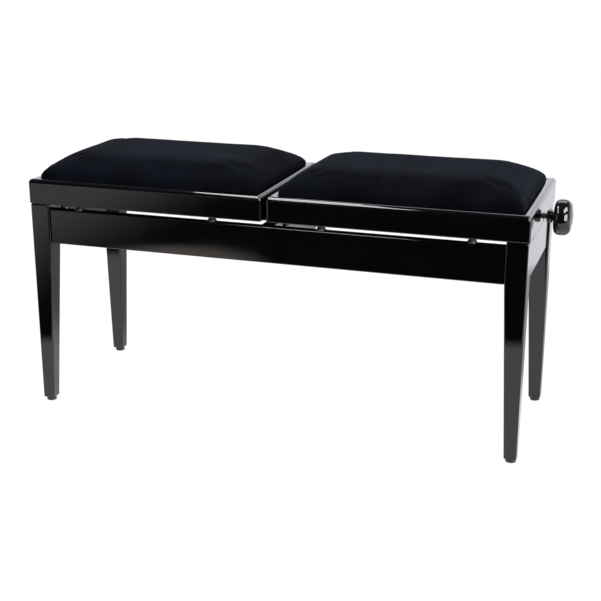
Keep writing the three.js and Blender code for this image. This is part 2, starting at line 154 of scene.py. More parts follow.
def applied(piece):
    """Turns the piece's modifiers into plain mesh."""
    bpy.context.view_layer.update()
    shape = piece.evaluated_get(bpy.context.evaluated_depsgraph_get())
    mesh = bpy.data.meshes.new_from_object(shape)
    piece.modifiers.clear()
    piece.data = mesh
    return piece


def fitted(piece, material, body, slot, *nodes):
    """Gives a piece its material and body and hides the nodes it stands for; slot is not used."""
    piece.data.materials.clear()
    piece.data.materials.append(material)
    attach(piece, body)
    if nodes:
        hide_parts(*nodes)
    return piece


print("tools: bevels, shading and fitting are ready")

# %% [markdown]
# ## Shader helpers
# A material is a small graph. One helper adds a node with its settings and wires, and another
# opens a node group with named inputs and outputs. Groups hold what several finishes share, such
# as fine scratches or a grain, and they only hand out colours, masks and heights. The Principled
# shader itself stays in each material.

# %% Nodes and groups
def add(tree, kind, wires=None, **settings):
    """A node of that kind with its settings; wires maps input names to values or sockets."""
    node = tree.nodes.new(kind)
    for key, value in settings.items():
        setattr(node, key, value)
    for key, value in (wires or {}).items():
        socket = node.inputs[key]
        if isinstance(value, bpy.types.NodeSocket):
            tree.links.new(value, socket)
        else:
            socket.default_value = value
    return node


def new_group(name, inputs, outputs):
    """An empty node group; inputs are (name, value) and outputs (name, kind)."""
    tree = bpy.data.node_groups.new(name, "ShaderNodeTree")
    for label, value in inputs:
        socket = tree.interface.new_socket(label, in_out="INPUT", socket_type="NodeSocketFloat")
        socket.default_value = value
    for label, kind in outputs:
        tree.interface.new_socket(label, in_out="OUTPUT", socket_type=kind)
    source = tree.nodes.new("NodeGroupInput").outputs
    sink = tree.nodes.new("NodeGroupOutput").inputs
    return tree, source, sink


def blend_of(tree, factor, low, high):
    """The number between low and high that the factor picks."""
    node = add(tree, "ShaderNodeMapRange", {"Value": factor, "To Min": low, "To Max": high})
    return node.outputs["Result"]


def ramp_of(tree, factor, stops):
    """A colour ramp with (position, colour) stops."""
    node = add(tree, "ShaderNodeValToRGB", {"Fac": factor})
    bar = node.color_ramp.elements
    while len(bar) < len(stops):
        bar.new(0.5)
    for element, (position, colour) in zip(bar, stops):
        element.position = position
        element.color = (*colour, 1)
    return node.outputs["Color"]


def new_material(name, **plain):
    """A material with its Principled shader, whose plain values are set on its own sockets."""
    material = bpy.data.materials.new(name)
    material.use_nodes = True
    tree = material.node_tree
    shader = tree.nodes["Principled BSDF"]
    for label, value in plain.items():
        shader.inputs[label.replace("_", " ")].default_value = value
    return material, tree, shader


def use_group(tree, group, **inputs):
    """A placed group with its own values."""
    node = tree.nodes.new("ShaderNodeGroup")
    node.node_tree = group
    for label, value in inputs.items():
        node.inputs[label.replace("_", " ")].default_value = value
    return node.outputs


def bump_into(tree, shader, height, strength, distance):
    """Feeds a height into the shader's normal."""
    wires = {"Height": height, "Strength": strength, "Distance": distance}
    bump = add(tree, "ShaderNodeBump", wires)
    tree.links.new(bump.outputs["Normal"], shader.inputs["Normal"])


print("tools: nodes, groups, ramps and bumps are ready")

# %% [markdown]
# ## Shared surface effects
# Polish wear is what a hand and a duster leave on a hard surface: faint cloudy patches and hair
# scratches, which change the roughness a little, and a slow waviness left by sanding. Nap is the
# pile of velvet, lying this way and that. Grain is long stretched noise, which reads as wood on a
# board and as brushing on metal.

# %% Group: polish wear
def polish_wear_group():
    inputs = [("Smear Scale", 9.0), ("Scratch Scale", 160.0), ("Base", 0.04), ("Worn", 0.12)]
    outputs = [("Roughness", "NodeSocketFloat"), ("Height", "NodeSocketFloat")]
    tree, given, out = new_group("polish wear", inputs, outputs)
    where = add(tree, "ShaderNodeTexCoord").outputs["Object"]
    smear = add(tree, "ShaderNodeTexNoise", {"Vector": where, "Scale": given["Smear Scale"],
                                             "Detail": 5.0, "Roughness": 0.62})
    stretch = add(tree, "ShaderNodeMapping", {"Vector": where, "Scale": (0.15, 1.0, 1.0),
                                              "Rotation": (0.3, 0.2, 0.5)})
    scratch = add(tree, "ShaderNodeTexNoise", {"Vector": stretch.outputs["Vector"],
                                               "Scale": given["Scratch Scale"], "Detail": 2.0})
    fine = add(tree, "ShaderNodeMapRange", {"Value": scratch.outputs["Fac"],
                                            "From Min": 0.62, "From Max": 0.74})
    cloud = add(tree, "ShaderNodeMapRange", {"Value": smear.outputs["Fac"],
                                             "From Min": 0.45, "From Max": 0.8})
    worn = add(tree, "ShaderNodeMath", {0: fine.outputs["Result"], 1: 0.5}, operation="MULTIPLY")
    both = add(tree, "ShaderNodeMath", {0: worn.outputs[0], 1: cloud.outputs["Result"]},
               operation="MAXIMUM")
    tree.links.new(blend_of(tree, both.outputs[0], given["Base"], given["Worn"]), out["Roughness"])
    tree.links.new(smear.outputs["Fac"], out["Height"])
    return tree


polish_wear = polish_wear_group()
print("group:", polish_wear.name, "with", len(polish_wear.nodes), "nodes")

# %% Group: grain
def grain_group():
    inputs = [("Scale", 40.0), ("Stretch", 0.04), ("Contrast", 0.5)]
    outputs = [("Mask", "NodeSocketFloat"), ("Pores", "NodeSocketFloat")]
    tree, given, out = new_group("grain", inputs, outputs)
    where = add(tree, "ShaderNodeTexCoord").outputs["Object"]
    squeeze = add(tree, "ShaderNodeCombineXYZ", {"X": given["Stretch"], "Y": 1.0, "Z": 1.0})
    pulled = add(tree, "ShaderNodeVectorMath", {0: where, 1: squeeze.outputs[0]},
                 operation="MULTIPLY").outputs[0]
    rings = add(tree, "ShaderNodeTexNoise", {"Vector": pulled, "Scale": given["Scale"],
                                             "Detail": 6.0, "Roughness": 0.6, "Distortion": 0.4})
    wide = add(tree, "ShaderNodeMath", {0: given["Contrast"], 1: 0.5}, operation="MULTIPLY")
    low = add(tree, "ShaderNodeMath", {0: 0.5, 1: wide.outputs[0]}, operation="SUBTRACT")
    high = add(tree, "ShaderNodeMath", {0: 0.5, 1: wide.outputs[0]}, operation="ADD")
    mask = add(tree, "ShaderNodeMapRange", {"Value": rings.outputs["Fac"],
                                            "From Min": low.outputs[0],
                                            "From Max": high.outputs[0]})
    six = add(tree, "ShaderNodeMath", {0: given["Scale"], 1: 6.0}, operation="MULTIPLY")
    pores = add(tree, "ShaderNodeTexNoise", {"Vector": pulled, "Scale": six.outputs[0],
                                             "Detail": 2.0})
    tree.links.new(mask.outputs["Result"], out["Mask"])
    tree.links.new(pores.outputs["Fac"], out["Pores"])
    return tree


grain = grain_group()
print("group:", grain.name, "with", len(grain.nodes), "nodes")

# %% Group: nap
def nap_group():
    inputs = [("Stroke Scale", 7.0), ("Pile Scale", 900.0)]
    outputs = [("Stroke", "NodeSocketFloat"), ("Pile", "NodeSocketFloat")]
    tree, given, out = new_group("nap", inputs, outputs)
    where = add(tree, "ShaderNodeTexCoord").outputs["Object"]
    stroke = add(tree, "ShaderNodeTexNoise", {"Vector": where, "Scale": given["Stroke Scale"],
                                              "Detail": 4.0, "Roughness": 0.55, "Distortion": 1.2})
    pile = add(tree, "ShaderNodeTexNoise", {"Vector": where, "Scale": given["Pile Scale"],
                                            "Detail": 3.0, "Roughness": 0.7})
    soft = add(tree, "ShaderNodeMapRange", {"Value": stroke.outputs["Fac"],
                                            "From Min": 0.3, "From Max": 0.7},
               interpolation_type="SMOOTHSTEP")
    tree.links.new(soft.outputs["Result"], out["Stroke"])
    tree.links.new(pile.outputs["Fac"], out["Pile"])
    return tree


nap = nap_group()
print("group:", nap.name, "with", len(nap.nodes), "nodes")

# %% [markdown]
# ## Black lacquer
# The stand and the seat frames are hardwood under a thick black polyester lacquer, sanded flat and
# buffed. It is almost a mirror: nearly no colour of its own, a very low roughness, and a faint
# waviness. Everything that seems to be painted on it is a reflection, so the wear group only
# clouds the roughness slightly and bends the surface by hundredths of a millimetre.

# %% Lacquer
def lacquer_material():
    material, tree, shader = new_material("black lacquer", IOR=1.52)
    wear = use_group(tree, polish_wear, Smear_Scale=6.0, Scratch_Scale=220.0, Base=0.035, Worn=0.1)
    tint = ramp_of(tree, wear["Height"], [(0.35, (0.0009, 0.0010, 0.0014)),
                                          (0.75, (0.0018, 0.0021, 0.0028))])
    tree.links.new(tint, shader.inputs["Base Color"])
    tree.links.new(wear["Roughness"], shader.inputs["Roughness"])
    bump_into(tree, shader, wear["Height"], 0.05, 0.002)
    return material


lacquer = lacquer_material()
print("material:", lacquer.name)

# %% [markdown]
# ## Velvet
# Velvet is short upright pile. Seen across the pile it is nearly black, and seen along it the
# sides of the fibres glow, which is what a sheen layer imitates. The nap group darkens and
# lightens the cloth in slow strokes, as a hand would leave it, and gives the pile its fine bump.

# %% Velvet
def velvet_material():
    material, tree, shader = new_material(
        "black velvet", Roughness=0.9, Sheen_Weight=0.17, Sheen_Roughness=0.3,
        Sheen_Tint=(0.25, 0.31, 0.42, 1), Specular_IOR_Level=0.02)
    cloth = use_group(tree, nap, Stroke_Scale=6.0, Pile_Scale=1100.0)
    colour = ramp_of(tree, cloth["Stroke"], [(0.0, (0.0002, 0.0004, 0.0014)),
                                             (1.0, (0.0026, 0.0034, 0.0072))])
    tree.links.new(colour, shader.inputs["Base Color"])
    bump_into(tree, shader, cloth["Pile"], 0.5, 0.0008)
    return material


velvet = velvet_material()
print("material:", velvet.name)

# %% [markdown]
# ## Steel, rubber, plastic and plywood
# The lift is pressed steel with a black coat, and its axles are turned and zinc plated. The
# buffers are moulded rubber, dull and slightly dusty. The knob is polished resin, as shiny as the
# lacquer. The seat board is plywood, stained dark so that it doesn't show beside the cushion.

# %% Metals
def metal_material(name, dark, light, base, worn, metallic):
    """Metal with a drawn grain in its colour and polish wear in its roughness."""
    material, tree, shader = new_material(name, Metallic=metallic)
    drawn = use_group(tree, grain, Scale=90.0, Stretch=0.05, Contrast=0.5)
    colour = ramp_of(tree, drawn["Mask"], [(0.2, dark), (0.8, light)])
    wear = use_group(tree, polish_wear, Smear_Scale=25.0, Scratch_Scale=400.0,
                     Base=base, Worn=worn)
    tree.links.new(colour, shader.inputs["Base Color"])
    tree.links.new(wear["Roughness"], shader.inputs["Roughness"])
    bump_into(tree, shader, drawn["Pores"], 0.12, 0.0004)
    return material


black_steel = metal_material("black coated steel", (0.012, 0.012, 0.013), (0.022, 0.022, 0.024),
                             0.34, 0.55, 0.0)
zinc_steel = metal_material("zinc plated steel", (0.46, 0.47, 0.49), (0.62, 0.62, 0.63),
                            0.22, 0.4, 1.0)
dark_steel = metal_material("burnished spindle steel", (0.03, 0.03, 0.032), (0.07, 0.07, 0.072),
                            0.25, 0.42, 0.9)
print("materials:", black_steel.name, "|", zinc_steel.name, "|", dark_steel.name)

# %% Rubber, plastics and plywood
def moulded_material(name, dark, light, base, worn, scale=60.0):
    """A moulded material: mottled colour, uneven roughness and a fine bump."""
    material, tree, shader = new_material(name)
    wear = use_group(tree, polish_wear, Smear_Scale=scale, Scratch_Scale=500.0,
                     Base=base, Worn=worn)
    colour = ramp_of(tree, wear["Height"], [(0.3, dark), (0.7, light)])
    tree.links.new(colour, shader.inputs["Base Color"])
    tree.links.new(wear["Roughness"], shader.inputs["Roughness"])
    bump_into(tree, shader, wear["Height"], 0.06, 0.0004)
    return material


def plywood_material():
    material, tree, shader = new_material("stained plywood")
    wood = use_group(tree, grain, Scale=60.0, Stretch=0.06, Contrast=0.45)
    colour = ramp_of(tree, wood["Mask"], [(0.0, (0.014, 0.010, 0.008)),
                                          (1.0, (0.040, 0.030, 0.022))])
    tree.links.new(colour, shader.inputs["Base Color"])
    tree.links.new(blend_of(tree, wood["Pores"], 0.55, 0.8), shader.inputs["Roughness"])
    bump_into(tree, shader, wood["Pores"], 0.25, 0.0006)
    return material


rubber = moulded_material("buffer rubber", (0.010, 0.010, 0.010), (0.019, 0.019, 0.019), 0.45, 0.7)
resin = moulded_material("knob resin", (0.0035, 0.0035, 0.004), (0.006, 0.006, 0.0065),
                         0.05, 0.14, scale=18.0)
hard_plastic = moulded_material("glide plastic", (0.010, 0.010, 0.011), (0.02, 0.02, 0.021),
                                0.35, 0.55)
nylon = moulded_material("bearing nylon", (0.55, 0.53, 0.47), (0.66, 0.64, 0.58), 0.4, 0.6)
plywood = plywood_material()
print("materials:", rubber.name, "|", resin.name, "|", hard_plastic.name, "|", nylon.name)

# %% [markdown]
# ## Legs
# A leg is a square post whose two inner faces are planed away below the rails, so the outer faces
# stay upright. It could be a box with moved vertices, but three rings say the same thing plainly:
# foot, start of the taper, top. A bevel rounds the four long edges.

# %% Legs
FOOT_WIDTH = 24 * MM
LEG_EDGE = 3 * MM
rail_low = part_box("rail_front")[0].z


def leg_ring(x, y, low, high, width, z):
    """A square ring that keeps the leg's outer corner, with the width measured inwards."""
    xs = (high.x - width, high.x) if x > 0 else (low.x, low.x + width)
    ys = (high.y - width, high.y) if y > 0 else (low.y, low.y + width)
    return [(xs[0], ys[0], z), (xs[1], ys[0], z), (xs[1], ys[1], z), (xs[0], ys[1], z)]


for side, x in SIDES:
    for end, y in ENDS:
        node = f"leg_{end}_{side}"
        low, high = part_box(node)
        width = high.x - low.x
        rings = [
            leg_ring(x, y, low, high, FOOT_WIDTH, low.z),
            leg_ring(x, y, low, high, width, rail_low),
            leg_ring(x, y, low, high, width, high.z),
        ]
        leg = softened(lofted(f"tapered_{node}", rings), LEG_EDGE, 4)
        leg.modifiers["soft_edges"].angle_limit = math.radians(20)
        fitted(leg, lacquer, "stand", "black_lacquer", node)
print("legs: four,", round(width / MM), "mm wide, tapering to", round(FOOT_WIDTH / MM), "mm")

# %% [markdown]
# ## Rails
# The rails are planed boards between the legs, with their long edges eased. Their ends butt
# against the legs and the joint shows as a hairline, so the bevel is small.

# %% Rails
for node in ("rail_front", "rail_rear", "rail_end_left", "rail_end_right", "rail_centre"):
    low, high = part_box(node)
    rail = softened(boxed(f"lacquered_{node}", low, high), 2.2 * MM, 4)
    fitted(rail, lacquer, "stand", "black_lacquer", node)
    print(node, [round((b - a) / MM) for a, b in zip(low, high)], "mm")

# %% [markdown]
# ## Seat frames
# Each seat frame is a moulding mitred at four corners: a rounded top edge outside, a rim, a well
# for the cushion, and a ledge for the board. It is one closed profile carried round a rectangle.
# At each corner the profile turns on a short arc, so the vertical corners are rounded too. The
# notch for the spindle is cut afterwards from below, as it would be with a saw and a drill.

# %% Frame profile
RIM = 17 * MM
LEDGE = 10 * MM
CORNER = 6 * MM
TOP_ROUND = 8 * MM
LOW_ROUND = 2.5 * MM
MITRE_ROUND = 0.4 * MM


def frame_profile(bottom, top, ledge):
    """The moulding's section as (inset from the outside, height) points, in order round it."""
    outer_top = arc((TOP_ROUND, top - TOP_ROUND), TOP_ROUND, 180, 90, 8)
    inner_top = arc((RIM - 1 * MM, top - 1 * MM), 1 * MM, 90, 0, 3)
    low_inner = arc((RIM + LEDGE - 1 * MM, bottom + 1 * MM), 1 * MM, 0, -90, 3)
    low_outer = arc((LOW_ROUND, bottom + LOW_ROUND), LOW_ROUND, 270, 180, 4)
    steps = [(RIM, ledge), (RIM + LEDGE, ledge)]
    return outer_top + inner_top + steps + low_inner + low_outer


def rounded_plan(low, high, inset, radius, steps=5):
    """A rectangle in plan, inset all round, its corners turning on arcs."""
    r = max(radius - inset, MITRE_ROUND)
    corners = (
        (high.x - inset - r, high.y - inset - r, 0),
        (low.x + inset + r, high.y - inset - r, 90),
        (low.x + inset + r, low.y + inset + r, 180),
        (high.x - inset - r, low.y + inset + r, 270),
    )
    return [point for x, y, turn in corners for point in arc((x, y), r, turn, turn + 90, steps)]


def framed(name, low, high, profile):
    """Carries the profile round the rectangle and closes it on itself."""
    rings = [[(x, y, z) for x, y in rounded_plan(low, high, d, CORNER)] for d, z in profile]
    return lofted(name, rings, closed=True)


print("frame profile:", len(frame_profile(0, 47 * MM, 25 * MM)), "points")

# %% Seat frames
NOTCH_WIDTH = 14 * MM
NOTCH_HEIGHT = 20 * MM


def cut_notch(piece, x, low, high):
    """Cuts the spindle's notch: a round-topped slot through the outer end, open at the bottom."""
    reach = RIM + LEDGE + 3 * MM
    near = (high.x - reach) if x > 0 else (low.x - 3 * MM)
    radius = NOTCH_WIDTH / 2
    middle = low.z + NOTCH_HEIGHT - radius
    top = [(-u, v) for u, v in arc((0, middle), radius, 0, 180, 16)]
    outline = [(-radius, low.z - 2 * MM)] + top + [(radius, low.z - 2 * MM)]
    rings = [[(end, u, v) for u, v in outline] for end in (near, near + reach + 3 * MM)]
    cutter = lofted("notch_cutter", rings)
    cut = piece.modifiers.new("notch", "BOOLEAN")
    cut.operation = "DIFFERENCE"
    cut.solver = "EXACT"
    cut.object = cutter
    applied(piece)
    bpy.data.objects.remove(cutter)


for side, x in SIDES:
    node = f"seat_frame_{side}"
    low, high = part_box(node)
    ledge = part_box(f"upper_channel_front_{side}")[1].z
    seat_frame = framed(f"moulded_{node}", low, high, frame_profile(low.z, high.z, ledge))
    cut_notch(seat_frame, x, low, high)
    smoothed(seat_frame, 25)
    weighted = seat_frame.modifiers.new("flat_faces", "WEIGHTED_NORMAL")
    weighted.weight = 100
    weighted.keep_sharp = True
    fitted(seat_frame, lacquer, f"seat_{side}", "black_lacquer", node)
    print(node, "faces:", len(seat_frame.data.polygons))

# %% [markdown]
# ## Rubber buffers and plastic glides
# Under each seat four rubber buffers stand on the long rails and stop the seat as it comes down.
# They are moulded, so their edges are round. The glides under the legs are turned from hard
# plastic. Both are lathed about an upright axis.

# %% Buffers and glides
def upright_turning(name, node, profile_of):
    """A lathed piece in a node's place; profile_of gives its outline from radius and height."""
    low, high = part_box(node)
    centre = Vector(((low.x + high.x) / 2, (low.y + high.y) / 2, low.z))
    outline = profile_of((high.x - low.x) / 2, high.z - low.z)
    return smoothed(lathed(name, outline, centre, (0, 0, 1)))


def buffer_outline(radius, height):
    """A wide foot, a leaning wall and a round shoulder."""
    tip = radius * 11 / 19
    shoulder = arc((tip - 1.5 * MM, height - 1.5 * MM), 1.5 * MM, 15, 90, 5)
    foot = [(radius - 0.3 * MM, 0), (radius, 0.4 * MM), (radius - 0.2 * MM, 1 * MM)]
    return [(0, 0)] + foot + shoulder + [(0, height)]


def glide_outline(radius, height):
    foot = arc((radius - 1 * MM, 1 * MM), 1 * MM, -90, 0, 4)
    brim = [(radius, height - 0.5 * MM), (radius - 0.5 * MM, height)]
    return [(0, 0)] + foot + brim + [(0, height)]


for side, _ in SIDES:
    for end, _ in ENDS:
        for place in ("inner", "outer"):
            node = f"buffer_{end}_{place}_{side}"
            fitted(upright_turning(f"moulded_{node}", node, buffer_outline),
                   rubber, "stand", "rubber", node)
        node = f"glide_{end}_{side}"
        fitted(upright_turning(f"turned_{node}", node, glide_outline),
               hard_plastic, "stand", "glide_plastic", node)
print("buffers: eight, glides: four")

# %% [markdown]
# ## Knobs
# The knob is a hub, a thin neck and a thick disc with full round edges, turned from resin and
# polished. Its outline is drawn once, from the hub outwards, and spun about the spindle.

# %% Knobs
HUB_LENGTH = 10 * MM
NECK_LENGTH = 3.5 * MM


def knob_outline(rim, length):
    """The knob's outline along its axis from the hub's face; rim is the disc's radius."""
    hub, neck, inner, outer, dome = 12 * MM, 8 * MM, 11 * MM, 15 * MM, 2 * MM
    disc = HUB_LENGTH + NECK_LENGTH
    face = length - dome
    hub_edges = arc((hub - 2 * MM, 2 * MM), 2 * MM, -90, 0, 6)
    hub_edges += arc((hub - 2 * MM, HUB_LENGTH - 2 * MM), 2 * MM, 0, 90, 6)
    throat = arc((neck + 2 * MM, disc - 2 * MM), 2 * MM, 180, 90, 5)
    back = arc((rim - inner, disc + inner), inner, -90, 0, 12)
    front = arc((rim - outer, face - outer), outer, 0, 90, 16)
    flat = rim - outer
    crown = [(flat * (1 - t), face + dome * (1 - (1 - t) ** 2)) for t in (0.2, 0.4, 0.6, 0.8, 0.94)]
    return [(0, 0)] + hub_edges + [(neck, HUB_LENGTH + 1 * MM)] + throat + back + front + crown \
        + [(0, length)]


for side, x in SIDES:
    low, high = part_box(f"knob_{side}")
    inner_x = low.x if x > 0 else high.x
    origin = Vector((inner_x, (low.y + high.y) / 2, (low.z + high.z) / 2))
    outline = knob_outline((high.z - low.z) / 2, high.x - low.x)
    knob = smoothed(lathed(f"turned_knob_{side}", outline, origin, (x, 0, 0), 96), 30)
    fitted(knob, resin, f"screw_{side}", "knob_plastic", f"knob_{side}")
    across, length = round((high.z - low.z) / MM), round((high.x - low.x) / MM)
    print(knob.name, across, "mm across,", length, "mm long")

# %% [markdown]
# ## Threaded spindles
# The spindle is a steel bar with a 2 mm trapezoidal thread over the length that the nut travels,
# and a plain shank through the bearing and into the knob. A thread is only a radius that changes
# with the angle and the distance along the bar, so each ring of points is read from one rule.

# %% Spindles
PITCH = 2 * MM
THREAD_DEPTH = 0.6 * MM
SPINDLE_RADIUS = 5 * MM
SHOULDER_RISE = 2 * MM
STEP = 0.01 * MM


def spindle_mesh(name, start, end, thread_end, shoulder, radius, axis, centre, segments=24):
    """A bar along X whose radius follows the thread up to thread_end; shoulder is (from, to)."""
    step = PITCH / 8
    count = int((thread_end - start) / step)
    places = [(start + i * step, "thread") for i in range(count + 1)]
    places += [(thread_end + 1 * MM, "plain"), (shoulder[0] - STEP, "plain")]
    places += [(shoulder[0], "shoulder"), (shoulder[1], "shoulder")]
    places += [(shoulder[1] + STEP, "plain"), (end, "plain")]
    rings = []
    for along, kind in places:
        ring = []
        for k in range(segments):
            turn = k / segments
            r = radius
            if kind == "shoulder":
                r = radius + SHOULDER_RISE
            if kind == "thread":
                phase = (along / PITCH - turn) % 1
                valley = min(1, max(0, 2.5 - abs(phase - 0.5) * 10))
                r = radius - THREAD_DEPTH * valley
            angle = 2 * math.pi * turn
            y, z = centre.y + r * math.cos(angle), centre.z + r * math.sin(angle)
            ring.append((axis * along, y, z))
        rings.append(ring)
    return smoothed(lofted(name, rings), 40)


for side, x in SIDES:
    low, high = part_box(f"spindle_{side}")
    start, end = sorted((abs(low.x), abs(high.x)))
    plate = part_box(f"spindle_bearing_{side}")
    bearing_end = max(abs(plate[0].x), abs(plate[1].x))
    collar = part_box(f"spindle_collar_{side}")
    thread_end = min(abs(collar[0].x), abs(collar[1].x)) - 4 * MM
    shoulder = (bearing_end + 0.3 * MM, bearing_end + 3.3 * MM)
    centre = Vector((0, (low.y + high.y) / 2, (low.z + high.z) / 2))
    spindle = spindle_mesh(f"threaded_spindle_{side}", start, end, thread_end, shoulder,
                           SPINDLE_RADIUS, x, centre)
    fitted(spindle, dark_steel, f"screw_{side}", "bright_steel", f"spindle_{side}")
    print(spindle.name, round((thread_end - start) / PITCH), "turns of thread")

# %% [markdown]
# ## Pressed steel of the lift
# The channels, arms, axles and bearings keep their CAD shapes, because those shapes are what the
# joints turn on. They only need the small radii that pressing and turning leave, so each gets a
# bevel modifier and its metal.

# %% Lift parts
LIFT_METALS = (
    (("outer_arm_front", "outer_arm_rear", "inner_arm_front", "inner_arm_rear",
      "lower_channel_front", "lower_channel_rear", "upper_channel_front", "upper_channel_rear",
      "bearing_plate"), black_steel, 0.4),
    (("cross_nut", "slide_axle", "centre_axle", "spindle_collar"), zinc_steel, 0.3),
    (("spindle_bearing",), nylon, 0.3),
    (("seat_board",), plywood, 0.6),
)
nodes = frame["nodes"]
for names, metal, edge in LIFT_METALS:
    for side, _ in SIDES:
        for name in names:
            part = nodes[f"{name}_{side}"]
            part.data.materials.clear()
            part.data.materials.append(metal)
            bevel = part.modifiers.new("worked_edges", "BEVEL")
            bevel.width = edge * MM
            bevel.segments = 2
            bevel.limit_method = "ANGLE"
            bevel.angle_limit = math.radians(50)
            bevel.harden_normals = True
    print(metal.name, "on", len(names) * 2, "parts")

# %% [markdown]
# ## Screw heads
# Pan-head screws hold the channels: two through each end tab of the lower channels into the
# rails, and four up through each upper channel into the seat board's ledge. Only their heads show.

# %% Screw heads
def pan_head(name, spot, axis, radius=3.2 * MM, height=1.9 * MM):
    """A domed head with a driving recess, standing out along the axis from the spot."""
    dome = [(radius * math.cos(t), height * (0.35 + 0.65 * math.sin(t)))
            for t in (0, 0.3, 0.6, 0.9, 1.2)]
    rim = [(radius * 0.36, height * 0.98), (radius * 0.3, height * 0.45)]
    outline = [(0, 0), (radius, 0.05 * MM)] + dome + rim + [(0, height * 0.4)]
    return smoothed(lathed(name, outline, spot, axis, 20), 40)


def screw_row(side, x):
    """Head places and directions on one seat's channels: (body, spot, axis)."""
    places = []
    for end, y in ENDS:
        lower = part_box(f"lower_channel_{end}_{side}")
        across = (lower[0].y + lower[1].y) / 2
        inner, outer = sorted((lower[0].x, lower[1].x), key=abs)
        for edge, toward in ((inner, x), (outer, -x)):
            spot = Vector((edge + toward * 2.5 * MM, across, lower[0].z + 7 * MM))
            places.append(("stand", spot, (toward, 0, 0)))
        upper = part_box(f"upper_channel_{end}_{side}")
        across = y * (max(abs(upper[0].y), abs(upper[1].y)) - 9 * MM)
        for part in (0.08, 0.36, 0.64, 0.92):
            along = upper[0].x + (upper[1].x - upper[0].x) * part
            spot = Vector((along, across, upper[1].z - 2.5 * MM))
            places.append((f"seat_{side}", spot, (0, 0, -1)))
    return places


for side, x in SIDES:
    for number, (body, spot, axis) in enumerate(screw_row(side, x)):
        head = pan_head(f"screw_head_{side}_{number}", spot, axis)
        fitted(head, zinc_steel, body, "bright_steel")
    print("screw heads on the", side, "lift:", number + 1)

# %% [markdown]
# ## Cushions
# A cushion is a foam block with its edges pulled down by a tight velvet cover, so it stands as a
# low dome: steep where it meets the rim, then nearly flat. It starts as that dome, a little too
# small. A cloth simulation then blows the cover out against the pull of the edges, as foam does,
# which gives the faint fullness at the sides and slack at the corners that a formula lacks.

# %% Cushion start shape
DOME_WIDTH = 97 * MM
DOME_POWER = 2.4
OVERHANG = 4.5 * MM
EDGE_RISE = 10 * MM


def swell(distance):
    """How far the dome has risen, from 0 at its edge to 1 on its plateau."""
    t = min(max(distance / DOME_WIDTH, 0), 1)
    return (1 - (1 - t) ** DOME_POWER) ** (1 / DOME_POWER)


def eased(count, low, high):
    """Places between low and high, closer together near both ends."""
    spread = [0.5 - 0.5 * math.cos(math.pi * i / count) for i in range(count + 1)]
    return [low + (high - low) * (0.75 * s + 0.25 * i / count) for i, s in enumerate(spread)]


def blended(a, b):
    """The smaller of two rises, softened where they are alike, which rounds the corner ridges."""
    return 0 if min(a, b) <= 0 else 1 / (1 / a + 1 / b - 1)


def cushion_start(name, low, high, crown):
    """A closed dome on a flat base that swells over the ends of the rim."""
    xs = eased(64, low.x - OVERHANG, high.x + OVERHANG)
    ys = eased(48, low.y + 1 * MM, high.y - 1 * MM)
    bm = bmesh.new()
    top = {}
    base = {}
    edge = low.z + EDGE_RISE
    for i, x in enumerate(xs):
        for j, y in enumerate(ys):
            rise = blended(swell(min(x - xs[0], xs[-1] - x)), swell(min(y - ys[0], ys[-1] - y)))
            top[i, j] = bm.verts.new((x, y, edge + (crown - edge) * rise))
            base[i, j] = bm.verts.new((x, y, low.z))
    last_i, last_j = len(xs) - 1, len(ys) - 1
    for i in range(last_i):
        for j in range(last_j):
            bm.faces.new((top[i, j], top[i + 1, j], top[i + 1, j + 1], top[i, j + 1]))
            bm.faces.new((base[i, j], base[i, j + 1], base[i + 1, j + 1], base[i + 1, j]))
    for i in range(last_i):
        for j in (0, last_j):
            bm.faces.new((top[i, j], top[i + 1, j], base[i + 1, j], base[i, j]))
    for j in range(last_j):
        for i in (0, last_i):
            bm.faces.new((top[i, j], top[i, j + 1], base[i, j + 1], base[i, j]))
    return object_from(name, bm)


print("cushion plan: a dome", round(DOME_WIDTH / MM), "mm wide at its shoulders")

# %% Cushion cloth
LIMIT = 2.5 * MM


def remeshed(piece, size):
    remesh = piece.modifiers.new("even_mesh", "REMESH")
    remesh.mode = "VOXEL"
    remesh.voxel_size = size
    return applied(piece)


def filled(piece, low):
    """Inflates the cover with its lower edge tacked, and keeps every point near its start."""
    tacked = piece.vertex_groups.new(name="tacked")
    tacked.add([v.index for v in piece.data.vertices if v.co.z < low.z + 2 * MM], 1, "REPLACE")
    start = [v.co.copy() for v in piece.data.vertices]
    cloth = piece.modifiers.new("filling", "CLOTH")
    cloth.settings.vertex_group_mass = "tacked"
    cloth.settings.use_pressure = True
    cloth.settings.uniform_pressure_force = 4
    cloth.settings.effector_weights.gravity = 0
    cloth.settings.quality = 4
    cloth.point_cache.frame_start = 1
    cloth.point_cache.frame_end = 20
    for number in range(1, 21):
        bpy.context.scene.frame_set(number)
    applied(piece)
    for vertex, origin in zip(piece.data.vertices, start):
        move = vertex.co - origin
        if move.length > LIMIT:
            vertex.co = origin + move * (LIMIT / move.length)
    return piece


def tucked(piece, low, high):
    """Presses the cover back inside the well and gives it hand-smoothed unevenness."""
    for vertex in piece.data.vertices:
        place = vertex.co
        over = OVERHANG if place.z > low.z + EDGE_RISE - 0.5 * MM else 0
        place.x = min(max(place.x, low.x - over), high.x + over)
        place.y = min(max(place.y, low.y), high.y)
        if place.z > low.z + 6 * MM:
            place.z += 0.7 * MM * noise.noise(place * 14) + 0.25 * MM * noise.noise(place * 55)
    return piece


print("cushion cloth: moves at most", LIMIT / MM, "mm")

